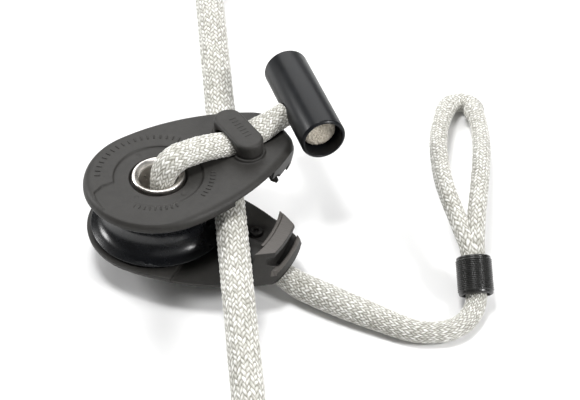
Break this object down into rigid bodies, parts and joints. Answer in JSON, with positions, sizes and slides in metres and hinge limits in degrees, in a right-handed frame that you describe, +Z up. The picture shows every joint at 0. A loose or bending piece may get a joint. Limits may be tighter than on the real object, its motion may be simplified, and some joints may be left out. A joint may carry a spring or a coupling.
{
  "type": "soft-attachment snatch block",
  "caption": "Open snatch block with a tubular hub, grooved sheave, swinging upper cheek and a rope strop ending in a toggle and an eye.",
  "frame": {"origin": "centre of the box round the hard parts, in the mid-plane of the sheave; the hub axis stands at x -14.9 mm, y -12.7 mm", "axes": "+Z up along the hub axis; +X from the hub to the head of the lower cheek; the upper cheek is swung open 57 degrees towards +Y"},
  "size_m": [0.2255, 0.3562, 0.06],
  "materials": {
    "cheek_plastic": "fine moulded grain, matte",
    "anodised": "black hard anodised, satin gloss",
    "stainless": "polished stainless",
    "acetal": "plain acetal",
    "bearing_fibre": "wound fibre bearing",
    "rubber": "moulded black rubber with fine ribs",
    "rope": "white plaited synthetic fibre"
  },
  "bodies": {
    "block": {"lower_cheek": "cheek_plastic", "lower_keeper": "cheek_plastic", "lower_keeper_screw_left": "stainless", "lower_keeper_screw_right": "stainless", "hub_sleeve": "stainless", "upper_hub_rim": "stainless", "lower_hub_rim": "stainless", "bearing_bush": "bearing_fibre", "strop_lower_leg": "rope", "strop_splice": "rope", "strop_neck": "rope", "strop_eye": "rope", "working_line_far": "rope", "working_line_near": "rope", "line_stopper_knot_far": "rope", "line_stopper_knot_near": "rope"},
    "sheave": {"sheave": "anodised"},
    "upper_race": {"upper_ball_race": "acetal"},
    "lower_race": {"lower_ball_race": "acetal"},
    "swinging_cheek": {"upper_cheek": "cheek_plastic", "upper_keeper": "cheek_plastic", "upper_keeper_screw_left": "stainless", "upper_keeper_screw_right": "stainless", "strop_upper_leg": "rope"},
    "toggle": {"toggle_tube": "anodised", "strop_tail": "rope"},
    "sleeve": {"eye_sleeve": "rubber"}
  },
  "joints": [
    {"name": "sheave_spin", "type": "hinge", "parent": "block", "child": "sheave", "pos_m": [-0.0149, -0.0127, 0], "axis": [0, 0, 1], "continuous": true},
    {"name": "upper_race_roll", "type": "hinge", "parent": "block", "child": "upper_race", "pos_m": [-0.0149, -0.0127, 0], "axis": [0, 0, 1], "continuous": true},
    {"name": "lower_race_roll", "type": "hinge", "parent": "block", "child": "lower_race", "pos_m": [-0.0149, -0.0127, 0], "axis": [0, 0, 1], "continuous": true},
    {"name": "upper_cheek_swing", "type": "hinge", "parent": "block", "child": "swinging_cheek", "pos_m": [-0.0149, -0.0127, 0], "axis": [0, 0, 1], "range_deg": [-57, 2]},
    {"name": "toggle_swivel", "type": "hinge", "parent": "swinging_cheek", "child": "toggle", "pos_m": [0.02448, 0.04794, 0.0223], "axis": [0.5317, 0.8188, 0.2164], "range_deg": [-90, 90]},
    {"name": "sleeve_slide", "type": "slide", "parent": "block", "child": "sleeve", "axis": [-0.389, 0.714, 0.5822], "range_m": [-0.002, 0.003]}
  ],
  "couplings": [
    {"joint": "upper_race_roll", "follows": "sheave_spin", "ratio": 0.5},
    {"joint": "lower_race_roll", "follows": "sheave_spin", "ratio": 0.5}
  ]
}
